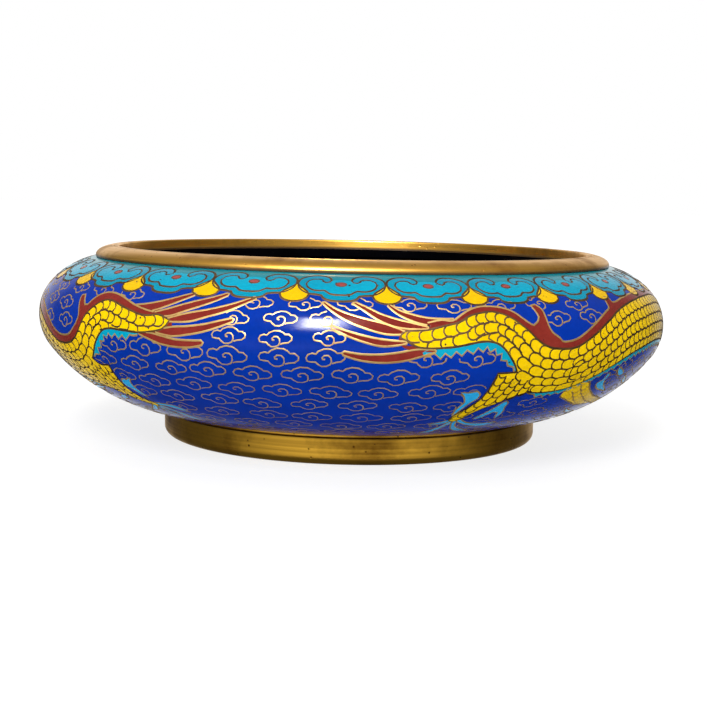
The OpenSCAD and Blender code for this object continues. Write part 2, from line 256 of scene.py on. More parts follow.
def aged_metal_group():
    """Patina that lies in clouds and pits, over the fine rings left by turning and polishing."""
    group, given, out = shader_group(
        "aged metal",
        [("Bright", "Color"), ("Dark", "Color"), ("Low", "Float"), ("High", "Float"), ("Scale", "Float"),
         ("Rough", "Float"), ("Pits", "Float")],
        [("Colour", "Color"), ("Roughness", "Float"), ("Normal", "Vector")])
    place = node(group, "ShaderNodeTexCoord").outputs["Object"]
    cloud = node(group, "ShaderNodeTexNoise",
                 {"Vector": place, "Scale": given.outputs["Scale"], "Detail": 6.0, "Roughness": 0.62}).outputs[0]
    rings = node(group, "ShaderNodeMapping", {"Vector": place, "Scale": (6.0, 6.0, 900.0)}).outputs[0]
    lathe = node(group, "ShaderNodeTexNoise", {"Vector": rings, "Scale": 1.0, "Detail": 3.0}).outputs[0]
    speck = node(group, "ShaderNodeTexVoronoi", {"Vector": place, "Scale": 420.0})
    pit = maths(group, "MULTIPLY", ramp(group, speck.outputs["Distance"], 0.16, 0.06),
                maths(group, "GREATER_THAN", speck.outputs["Color"], 0.52))
    pit = maths(group, "MULTIPLY", pit, given.outputs["Pits"])
    stain = node(group, "ShaderNodeMapRange", {"Value": cloud, "From Min": given.outputs["Low"],
                                               "From Max": given.outputs["High"]}).outputs[0]
    stain = maths(group, "MINIMUM", maths(group, "ADD", stain, pit), 1.0)
    worn = maths(group, "MULTIPLY", ramp(group, lathe, 0.42, 0.72), 0.35)
    stain = maths(group, "MINIMUM", maths(group, "ADD", stain, worn), 1.0)
    colour = mixed(group, stain, given.outputs["Bright"], given.outputs["Dark"])
    rough = maths(group, "ADD", given.outputs["Rough"], maths(group, "MULTIPLY", stain, 0.22))
    rough = maths(group, "ADD", rough, maths(group, "MULTIPLY", maths(group, "SUBTRACT", lathe, 0.5), 0.12))
    height = maths(group, "SUBTRACT", maths(group, "MULTIPLY", lathe, 0.25), maths(group, "MULTIPLY", pit, 0.8))
    height = maths(group, "ADD", height, maths(group, "MULTIPLY", cloud, 0.5))
    relief = node(group, "ShaderNodeBump", {"Height": height, "Strength": 0.3, "Distance": 0.0003})
    group.links.new(colour, out.inputs["Colour"])
    group.links.new(rough, out.inputs["Roughness"])
    group.links.new(relief.outputs[0], out.inputs["Normal"])
    return group


AGED_METAL = aged_metal_group()
copper = metal("raised copper", (0.60, 0.24, 0.12), (0.25, 0.09, 0.05), 0.4, 0.7, 0.3)
solder = metal("dull solder", (0.42, 0.40, 0.36), (0.20, 0.18, 0.15), 0.4, 0.7, 0.45)
for cad_node, material in (("copper_bowl", copper), ("rim_solder", solder), ("foot_solder", solder),
                           ("base_enamel", base_material)):
    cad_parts[cad_node].data.materials.clear()
    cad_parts[cad_node].data.materials.append(material)

# ---- Mouth rim ---------------------------------------------------------------------------------------------
# A turned brass ring. Its sleeve lines the mouth and a lip laps over the enamel's edge. The lip falls away in a
# rounded slope, and a fine groove runs round its top. Dark patina stays in the groove. Along the seam, on the
# lip's lower edge and underside, a dark band is painted in: partly patina, partly painted shade under the overhang.
RIM_R = 82.6
edge_z = RIM_TOP - 3.22
slope_in, slope_down, groove_r = 6.7, 3.0, 77.3


def arc_points(centre, radius, start, end, count):
    """Points on a circle's arc between two angles in degrees."""
    return [(centre[0] + radius * math.cos(math.radians(a)), centre[1] + radius * math.sin(math.radians(a)))
            for a in np.linspace(start, end, count)]


rim_section = arc_points((MOUTH_R + 0.6, RIM_TOP - 0.6), 0.6, 180, 90, 6)
rim_section += arc_points((groove_r, RIM_TOP - 0.06), 0.3, 180, 360, 7)
rim_section += [(RIM_R - slope_in + slope_in * math.sin(a), RIM_TOP - slope_down * (1 - math.cos(a)))
                for a in np.radians(np.linspace(16, 90, 20))]
rim_section += [(RIM_R - 0.05, edge_z - 0.25), (RIM_R - 0.6, edge_z - 0.4), (77.2, edge_z - 0.02),
                (77.3, edge_z - 3), (MOUTH_R, edge_z - 3)]
rim = turned("brass_mouth_rim", rim_section, 256)
rim_brass = metal("rim brass", (0.96, 0.52, 0.09), (0.34, 0.15, 0.025), 0.47, 0.76, 0.29, 55.0, 0.9)
tree = rim_brass.node_tree
surface = tree.nodes["Principled BSDF"]
height = node(tree, "ShaderNodeSeparateXYZ", {0: node(tree, "ShaderNodeTexCoord").outputs["Object"]}).outputs["Z"]
# Painted shade in part: the lip's lower edge and underside by the seam are painted dark brown and made less metallic.
seam_patina_and_shade = ramp(tree, height, (edge_z + 0.9) * MM, (edge_z + 0.1) * MM)
clean = surface.inputs["Base Color"].links[0].from_socket
tree.links.new(mixed(tree, seam_patina_and_shade, clean, (0.10, 0.055, 0.018, 1)), surface.inputs["Base Color"])
tree.links.new(maths(tree, "SUBTRACT", 1.0, maths(tree, "MULTIPLY", seam_patina_and_shade, 0.7)), surface.inputs["Metallic"])
finish_piece(rim, rim_brass, "rim_brass", "mouth_rim")

# ---- Foot ring ---------------------------------------------------------------------------------------------
# A plain brass ring, soldered to the copper. It is browned and pitted, with a rounded lower edge and a thin
# dark gap where its neck meets the enamel.
foot_inner = FOOT_R - 4
foot_round = 2.5
foot_top = 8.3
foot_section = [(foot_inner, 9.6), (foot_inner, 0.5)] + arc_points((foot_inner + 0.5, 0.5), 0.5, 180, 270, 4)
foot_section += arc_points((FOOT_R - foot_round, foot_round), foot_round, -90, 0, 12)
foot_section += arc_points((FOOT_R - 0.5, foot_top - 0.5), 0.5, 0, 90, 5)
foot_section += [(FOOT_R - 1, foot_top), (FOOT_R - 1, 9.8)]
foot = turned("brass_foot_ring", foot_section, 240)
foot_brass = metal("foot brass", (1.0, 0.56, 0.06), (0.26, 0.11, 0.010), 0.44, 0.72, 0.33, 34.0, 1.2)
finish_piece(foot, foot_brass, "foot_brass", "foot_ring")

# ---- Shoulder border ---------------------------------------------------------------------------------------
# A teal collar runs round the shoulder under the rim. Over it lie 24 cloud-headed lappets in two turquoises,
# each with a coral dot, and a yellow pendant hangs between each two. Flat brass wires fence off every colour.
# All such work is drawn flat first: x is mm round the girth, y is mm up the wall from the girth.
LAPPET_COUNT = 24
LAPPET_PITCH = math.tau * BOWL_R / LAPPET_COUNT
LAPPET_START = -3.1
LEVEL = 0.03
CELL_THICKNESS = 0.24
OUTLINE_WIRE = 0.66


def flowing(points, closed=False, gap=1.1):
    """A line that flows through the points, with a sharp corner where a point is given twice."""
    points = np.array(points, float)
    ends = (points[-1:], points[:2]) if closed else (points[:1], points[-1:])
    points = np.vstack([ends[0], points, ends[1]])
    line = []
    for before, start, end, after in zip(points, points[1:], points[2:], points[3:]):
        a, b, c = (max(np.linalg.norm((q - p)[:2]), 1e-4) ** 0.5
                   for p, q in ((before, start), (start, end), (end, after)))
        if b < 0.1:
            continue
        leave = b * ((start - before) / a - (end - before) / (a + b)) + end - start
        arrive = b * ((after - end) / c - (after - start) / (b + c)) + end - start
        count = max(1, round(b * b / gap))
        for t in np.arange(count) / count:
            line.append((2 * t**3 - 3 * t**2 + 1) * start + (t**3 - 2 * t**2 + t) * leave
                        + (3 * t**2 - 2 * t**3) * end + (t**3 - t**2) * arrive)
    if not closed:
        line.append(points[-1])
    return np.array(line)


def both_halves(half):
    """A closed run of points from its right half, which starts and ends on the middle line."""
    return half + [(-u, s) for u, s in half[-2:0:-1]]


def cut_for_bending(piece, width=3.0, height=1.6):
    """Cuts a flat piece into strips along and across, so that it can follow the round wall."""
    corners = np.array([corner[:2] for corner in piece.bound_box])
    choose(piece)
    bpy.ops.object.mode_set(mode="EDIT")
    for axis, step in ((0, width), (1, height)):
        direction = (1, 0, 0) if axis == 0 else (0, 1, 0)
        low, high = corners[:, axis].min(), corners[:, axis].max()
        for place in np.arange(math.ceil(low / step), math.floor(high / step) + 1) * step:
            bpy.ops.mesh.select_all(action="SELECT")
            bpy.ops.mesh.bisect(plane_co=(place if axis == 0 else 0, place if axis else 0, 0),
                                plane_no=direction)
    bpy.ops.object.mode_set(mode="OBJECT")


def flat_cells(name, outlines):
    """Thin flat plates in the shape of closed outlines."""
    plates = []
    for outline_points in outlines:
        curve = bpy.data.curves.new(name, "CURVE")
        curve.dimensions, curve.fill_mode, curve.extrude = "2D", "BOTH", CELL_THICKNESS / 2
        edge = curve.splines.new("POLY")
        edge.points.add(len(outline_points) - 1)
        for point, (u, s) in zip(edge.points, outline_points):
            point.co = (u, s, 0, 1)
        edge.use_cyclic_u = True
        plates.append(meshed(name, curve))
    piece = joined(plates)
    bpy.ops.object.mode_set(mode="EDIT")
    bpy.ops.mesh.select_all(action="SELECT")
    bpy.ops.mesh.remove_doubles(threshold=0.001)
    bpy.ops.mesh.normals_make_consistent(inside=False)
    bpy.ops.object.mode_set(mode="OBJECT")
    cut_for_bending(piece)
    return piece


def joined(pieces):
    """Joins pieces into the first of them."""
    bpy.ops.object.select_all(action="DESELECT")
    for piece in pieces:
        piece.select_set(True)
    bpy.context.view_layer.objects.active = pieces[0]
    if len(pieces) > 1:
        bpy.ops.object.join()
    return pieces[0]


def flat_wires(name, lines, width):
    """Low ridged wire laid along (points, closed) lines, with its ends closed."""
    ridge = bpy.data.curves.new("wire section", "CURVE")
    ridge.dimensions = "2D"
    section = ridge.splines.new("POLY")
    section.points.add(2)
    for point, (across, up) in zip(section.points, ((-width / 2, -0.035), (width / 2, -0.035), (0, 0.065))):
        point.co = (across, up, 0, 1)
    section.use_cyclic_u = True
    profile = bpy.data.objects.new("wire section", ridge)
    bpy.context.collection.objects.link(profile)
    curve = bpy.data.curves.new(name, "CURVE")
    curve.dimensions = "3D"
    curve.twist_mode = "Z_UP"
    curve.bevel_mode, curve.bevel_object, curve.use_fill_caps = "OBJECT", profile, True
    for points, closed in lines:
        run = curve.splines.new("POLY")
        run.points.add(len(points) - 1)
        for point, (u, s) in zip(run.points, points):
            point.co = (u, s, 0, 1)
        run.use_cyclic_u = closed
    piece = meshed(name, curve)
    bpy.data.objects.remove(profile)
    bpy.ops.object.mode_set(mode="EDIT")
    bpy.ops.mesh.select_all(action="SELECT")
    bpy.ops.mesh.remove_doubles(threshold=0.001)
    bpy.ops.mesh.normals_make_consistent(inside=False)
    bpy.ops.object.mode_set(mode="OBJECT")
    return piece


def repeated(piece, count, step):
    """Copies a flat piece round the girth."""
    choose(piece)
    copies = piece.modifiers.new("round the bowl", "ARRAY")
    copies.count = count
    copies.use_relative_offset = False
    copies.use_constant_offset = True
    copies.constant_offset_displace = (step, 0, 0)
    bpy.ops.object.modifier_apply(modifier=copies.name)
    return piece


def hand_spaced(u):
    """Where a lappet set out at u really lies, since they were spaced by eye."""
    turn = u / BOWL_R
    return u - 9.5 * (1 - np.cos(turn)) + 1.1 * np.sin(turn) - 0.5


def lay_on_wall(piece, lift, smooth_angle=35, by_eye=False):
    """Bends flat work round the bowl, lift mm off the ground enamel, with the sway of lines drawn by hand."""
    flat = np.empty(len(piece.data.vertices) * 3)
    piece.data.vertices.foreach_get("co", flat)
    u, s, out = flat.reshape(-1, 3).T
    if by_eye:
        s = s - 0.6 * np.clip(np.cos(u / BOWL_R - 0.4), 0, 1) ** 8
        u = hand_spaced(u)
    turn = u / BOWL_R
    places = np.column_stack([np.sin(turn) * 8, np.cos(turn) * 8, s / 12])
    swayed = np.array([noise.noise_vector(Vector(place)) for place in places])
    turn = turn + (0.22 * swayed[:, 0] + 0.5 - 0.9 * np.sin(turn)) / BOWL_R
    radius, height, _ = outline(s + 0.22 * swayed[:, 1] - 0.15, out + lift)
    bent = np.column_stack([radius * np.sin(turn), -radius * np.cos(turn), height]) * MM
    piece.data.vertices.foreach_set("co", bent.ravel())
    piece.data.update()
    choose(piece)
    bpy.ops.object.shade_smooth_by_angle(angle=math.radians(smooth_angle))
    return piece


def lay_cells(name, outlines, level, material, slot, *stands_for):
    """Enamel cells at a level above the ground."""
    piece = lay_on_wall(flat_cells(name, outlines), LEVEL * level - CELL_THICKNESS / 2)
    finish_piece(piece, material, slot, *stands_for)


def lay_wires(name, lines, level, width, wire, *stands_for):
    """Brass wires that stand just proud of the enamel at a level."""
    piece = lay_on_wall(flat_wires(name, lines, width), LEVEL * level, smooth_angle=80)
    finish_piece(piece, wire, "wire_brass", *stands_for)


teal = enamel("teal enamel", (0.006, 0.24, 0.29), (0.002, 0.18, 0.24))
turquoise = enamel("turquoise enamel", (0.0, 0.27, 0.40), (0.0, 0.21, 0.33))
bright_turquoise = enamel("bright turquoise enamel", (0.0, 0.34, 0.49), (0.0, 0.26, 0.40))
coral = enamel("coral enamel", (0.36, 0.075, 0.07), (0.25, 0.04, 0.04))
yellow = enamel("yellow enamel", (0.82, 0.50, 0.0), (0.68, 0.40, 0.0))
wire_brass = metal("wire brass", (0.64, 0.43, 0.14), (0.36, 0.22, 0.07), 0.38, 0.68, 0.40, 160.0, 0.0, 0.62)
# Painted shade: a darkened copy of the wire brass, for wires that show dark brown where they mirror the dark room.
shaded_wire_brass = metal("wire brass darkened for shade", (0.17, 0.09, 0.03), (0.05, 0.025, 0.008), 0.34, 0.70, 0.45, 160.0, 0.0, 0.7)

collar_s = np.linspace(19.8, highest_s - 0.05, 14)
collar_r, collar_z, _ = outline(collar_s, LEVEL * 0.6)
under_r, under_z, _ = outline(collar_s[::-3], -0.1)
collar = turned("teal_collar", list(zip(collar_r, collar_z)) + list(zip(under_r, under_z)))
finish_piece(collar, teal, "teal_enamel", "collar_enamel")

lappet_half = [
    (0, 13.3), (3, 13.5), (4.6, 14.2), (5.3, 15.2), (6.8, 15.5), (9, 15.7), (10.8, 16.6), (12.2, 18),
    (12.9, 20), (12.6, 22.2), (11.2, 23.9), (9, 25), (6.4, 25.2), (4.4, 24.5), (3.3, 23.2), (3, 22.2),
    (3.6, 21.2), (4.6, 20.9), (5.5, 21.4), (5.9, 22.4), (5.9, 22.4)]
inner_half = [
    (0, 15.7), (1.4, 15.7), (3, 16), (3.9, 16.8), (4.7, 17.3), (6.2, 17.1), (8.2, 17.4), (9.8, 18.6),
    (10.4, 20.1), (9.9, 21.6), (8.6, 22.6), (7, 22.8), (5.9, 22.4), (5.9, 22.4)]
head_top = [(5.5, 21.4), (4.6, 20.9), (3.6, 21.2), (3, 22.2), (3, 22.2), (0, 22.6)]
pendant_half = [(0, 12.8), (2.2, 13.2), (3.6, 14.2), (4.1, 15.4), (3.4, 16.6), (1.6, 18.2), (0, 19.9), (0, 19.9)]
lappet_outline = flowing(both_halves(lappet_half[:16] + [(3, 22.2), (0, 22.6)]), closed=True)
head_outline = flowing(both_halves(inner_half + head_top), closed=True)
pendant_outline = flowing(both_halves(pendant_half), closed=True)
dot_outline = np.array([(1.55 * math.cos(a), 20.2 + 0.95 * math.sin(a)) for a in np.arange(14) * math.tau / 14])
outer_wire = flowing([(-u, s) for u, s in lappet_half[:0:-1]] + lappet_half)
inner_wire = flowing([(-u, s) for u, s in inner_half[:0:-1]] + inner_half)

border_cells = [
    ("lappets", lappet_outline, 0.0, 1, turquoise, "turquoise_enamel", "lappet_enamel"),
    ("lappet_heads", head_outline, 0.0, 2, bright_turquoise, "turquoise_enamel", "lappet_enamel"),
    ("coral_dots", dot_outline, 0.0, 3, coral, "coral_enamel", "coral_dots"),
    ("yellow_pendants", pendant_outline, 0.5, 2, yellow, "yellow_enamel", "pendants")]
for name, shape, shift, level, material, slot, stands_for in border_cells:
    one = shape + (LAPPET_START + shift * LAPPET_PITCH, 0)
    piece = repeated(flat_cells(name, [one]), LAPPET_COUNT, LAPPET_PITCH)
    lay_on_wall(piece, LEVEL * level - CELL_THICKNESS / 2, by_eye=True)
    finish_piece(piece, material, slot, stands_for)
border_lines = [(outer_wire + (LAPPET_START, 0), False), (inner_wire + (LAPPET_START, 0), False),
                (dot_outline + (LAPPET_START, 0), True),
                (pendant_outline + (LAPPET_START + LAPPET_PITCH / 2, 0), True)]
border_wires = repeated(flat_wires("lappet_wires", border_lines, 0.78), LAPPET_COUNT, LAPPET_PITCH)
lay_on_wall(border_wires, LEVEL * 2, smooth_angle=80, by_eye=True)
finish_piece(border_wires, shaded_wire_brass, "wire_brass", "lappet_wires")
covered = []
for k in range(-LAPPET_COUNT // 2, LAPPET_COUNT // 2):
    for shape, shift in ((lappet_outline, 0), (pendant_outline, 0.5)):
        placed = shape + (LAPPET_START + (k + shift) * LAPPET_PITCH, 0)
        covered.append(np.column_stack([hand_spaced(placed[:, 0]), placed[:, 1]]))

# ---- Dragons -----------------------------------------------------------------------------------------------
# Two scaly yellow dragons run tail to tail round the bowl, with a red fin, a turquoise fringe, red tail hair
# and sky-blue wisps at their legs. Each scale is its own bent wire. The dragons meet again at the back, head
# to head. Points are (mm round, mm up) and, on a strand or leg, its half width.
MEETING_U = -20.0
SCALE_WIRE = 0.72


def mirrored(points):
    """East's points as they lie on the west dragon."""
    return [(2 * MEETING_U - p[0], *p[1:]) for p in points]


def strand(points, gap=1.0):
    """Closed outline of a strand that follows (x, y, half width) points."""
    middle = flowing(points, gap=gap)
    along = np.gradient(middle[:, :2], axis=0)
    along /= np.linalg.norm(along, axis=1)[:, None]
    across = np.column_stack([-along[:, 1], along[:, 0]]) * middle[:, 2:]
    tip, root = middle[:1, :2] - along[:1] * middle[0, 2], middle[-1:, :2] + along[-1:] * middle[-1, 2] * 0.5
    return np.vstack([tip, middle[:, :2] + across, root, (middle[:, :2] - across)[::-1]])


def spaced(line, step):
    """Points at equal steps along a line."""
    run = np.concatenate([[0], np.cumsum(np.linalg.norm(np.diff(line, axis=0), axis=1))])
    marks = np.linspace(0, run[-1], max(2, round(run[-1] / step) + 1))
    return np.column_stack([np.interp(marks, run, line[:, 0]), np.interp(marks, run, line[:, 1])])


def sideways(line):
    """Unit vectors along a line and to its left."""
    along = np.gradient(line, axis=0)
    along /= np.linalg.norm(along, axis=1)[:, None]
    return along, np.column_stack([-along[:, 1], along[:, 0]])


def fringed(edge, depth, tooth=3.0):
    """Saw-toothed edging that hangs below a line drawn from left to right."""
    line = spaced(edge, tooth / 2)
    _, left = sideways(line)
    fade = np.clip(np.minimum(np.arange(len(line)), np.arange(len(line))[::-1]) / 3, 0.25, 1)
    drop = np.where(np.arange(len(line)) % 2, depth, depth * 0.55) * fade
    teeth = line - left * drop[:, None]
    return np.vstack([line + left * 0.6, teeth[::-1]]), teeth


def within(points, area):
    """Which points lie inside a closed outline."""
    x, y = points.T
    inside = np.zeros(len(points), bool)
    for (x0, y0), (x1, y1) in zip(area, np.roll(area, -1, axis=0)):
        if y0 != y1:
            inside ^= ((y0 > y) != (y1 > y)) & (x < x0 + (y - y0) * (x1 - x0) / (y1 - y0))
    return inside


def clear_runs(line, closed, areas):
    """The stretches of a line that lie outside every area."""
    hidden = np.zeros(len(line), bool)
    low, high = line.min(axis=0), line.max(axis=0)
    for area in areas:
        if (area.min(axis=0) < high).all() and (area.max(axis=0) > low).all():
            hidden |= within(line, area)
    if not hidden.any():
        return [(line, closed)]
    if closed:
        first = int(np.argmax(hidden))
        line, hidden = np.roll(line, -first, axis=0), np.roll(hidden, -first)
    breaks = np.flatnonzero(np.diff(hidden)) + 1
    runs = [run for run, gone in zip(np.split(line, breaks), np.split(hidden, breaks))
            if not gone[0] and len(run) > 2]
    return [(run, False) for run in runs]


def scale_wires(edge, inward, area, avoid=(), size=3.35, rows=7):
    """Wires of overlapping scales in rows beside an edge, each rounded towards the edge's start."""
    line = spaced(edge, size / 2)
    along, left = sideways(line)
    shape = [(-0.55, 0.47), (-0.15, 0.48), (0.2, 0.42), (0.42, 0.25), (0.5, 0), (0.42, -0.25), (0.2, -0.42),
             (-0.15, -0.48), (-0.55, -0.47)]
    lines, middles = [], []
    for row in range(rows):
        centres = line + inward * left * size * 0.88 * (row + 0.52)
        inside = within(centres, area)
        for shunned in avoid:
            inside &= ~within(centres, shunned)
        for k in range(row % 2, len(line), 2):
            if not inside[k] or any(np.linalg.norm(centres[k] - other) < size * 0.66 for other in middles):
                continue
            middles.append(centres[k])
            arc = np.array([centres[k] - along[k] * size * a + left[k] * size * b for a, b in shape])
            kept = within(arc, area)
            if kept.sum() >= 4:
                lines.append((arc[kept], False))
    return lines


back_top = [
    (118, 12), (128, 11.6), (138, 9.6), (148, 6), (157, 2.4), (166, -1), (174, -2.8), (182, -3), (190, -1.6),
    (198, 1.2), (206, 4.6), (214, 7.6), (222, 9), (230, 9), (238, 8.6)]
back_bottom = [
    (118, -2.2), (128, -3), (138, -5.4), (148, -9), (157, -12.6), (166, -15.4), (174, -17.2), (182, -17.6),
    (190, -16.4), (198, -13.6), (206, -9.8), (214, -6.4), (222, -4.2), (230, -3.2), (238, -3)]
back_legs = [
    [(181, -9, 5), (180, -14, 5), (176, -20, 3.8), (169, -25, 2.4), (165, -29, 1.6)],
    [(200, -5, 4.8), (203, -10, 4.6), (211, -15.5, 3.4), (220, -19, 2.4), (229, -22, 1.6)]]
head_points = [
    (234, 8), (239, 10.5), (243, 11.5), (247, 12), (250, 10.6), (253, 8.6), (257, 8.2), (261, 8.6),
    (265, 9.8), (268, 9), (269.5, 6.8), (268.5, 4.8), (265, 3.8), (260, 3.4), (254, 2), (254, 2), (258, 1),
    (263, 0.4), (267, -0.8), (267, -2.6), (263, -4), (257, -4.6), (251, -4.6), (246, -5.4), (241, -5),
    (235, -3.5)]
mouth_points = [(253, 3.4), (260, 3.8), (266, 4.2), (270.5, 3.4), (268, 1.6), (263, -0.2), (256, 0.4)]
tongue_points = [(254, 1.8, 1.0), (260, 2.2, 0.9), (266, 1.9, 0.8), (270, 3.2, 0.6), (272.5, 5.6, 0.2)]
horn_points = [(248, 10.4, 1.5), (243, 13, 1.3), (237, 14.4, 0.9), (229, 14.4, 0.3)]
brow_points = [(247.5, 9.4, 0.5), (250.5, 9.6, 0.9), (254.5, 7.2, 0.5)]
mane_strands = [
    [(238, 8.6, 1.8), (230, 12, 1.5), (222, 12.6, 0.9), (216, 11.4, 0.3)],
    [(236, 6, 1.6), (228, 9.6, 1.3), (219, 11, 0.4)],
    [(238, -3, 1.8), (230, -7, 1.5), (222, -8.8, 0.9), (215, -8.2, 0.3)],
    [(241, -4, 1.8), (235, -9.4, 1.4), (228, -13, 0.9), (220, -14.2, 0.3)],
    [(245, -4, 1.4), (242, -10, 1.1), (237, -15.5, 0.4)]]
beard_strands = [
    [(252, -4, 1.2), (251, -8.4, 1), (246.5, -13, 0.3)], [(258, -4, 1.2), (258.5, -8.6, 1), (256, -13.6, 0.3)],
    [(264, -3, 1.0), (266, -7, 0.9), (266.5, -11.6, 0.3)]]
whiskers = [[(266, 8.6), (270, 11), (274, 11.4), (278, 9.4), (282, 9.6)],
            [(264, 4), (271, 1), (275, -4), (274, -9.4), (277, -13)]]

tooth_points = [
    [(258.2, 3.5), (260.4, 3.7), (259.3, 1.9)], [(262, 3.7), (264, 4), (263.1, 2)],
    [(265.8, 4.2), (268.2, 4.9), (267.2, 1.8)], [(257.4, 0.9), (259.4, 0.5), (258.5, 2.2)],
    [(261.4, 0.3), (263.4, 0), (262.5, 1.8)], [(264.6, -0.3), (266.6, -0.9), (265.9, 1.4)]]
ear_points = [(244.6, 7.4, 0.5), (241.6, 9.4, 1.7), (237.4, 10.2, 1.1), (233.6, 9.6, 0.2)]
face_lines = [
    [(267.8, 5.6), (268, 7.3), (266.6, 8.3), (264.9, 7.7), (264.9, 6.4), (266.2, 6.1)],
    [(254, 2), (250.8, 0.5), (248, 1.5), (247.2, 3.8), (248.6, 5.8)],
    [(246.6, -5), (244, -2.4), (243.6, 0.8), (244.9, 3.6)],
    [(241.6, -4.8), (239.6, -1.8), (239.7, 1.4), (241.2, 4)],
    [(249, 5.9), (249.3, 8), (251.2, 9.2), (253.6, 8.8), (255.2, 7), (254.2, 5.6)],
    [(257, 7.9), (258.4, 6.4), (258.2, 4.6)], [(260.4, 8.2), (261.6, 6.8), (261.4, 5)],
    [(252, -3.2), (256, -2.2), (261, -2.2), (265.6, -1.6)]]

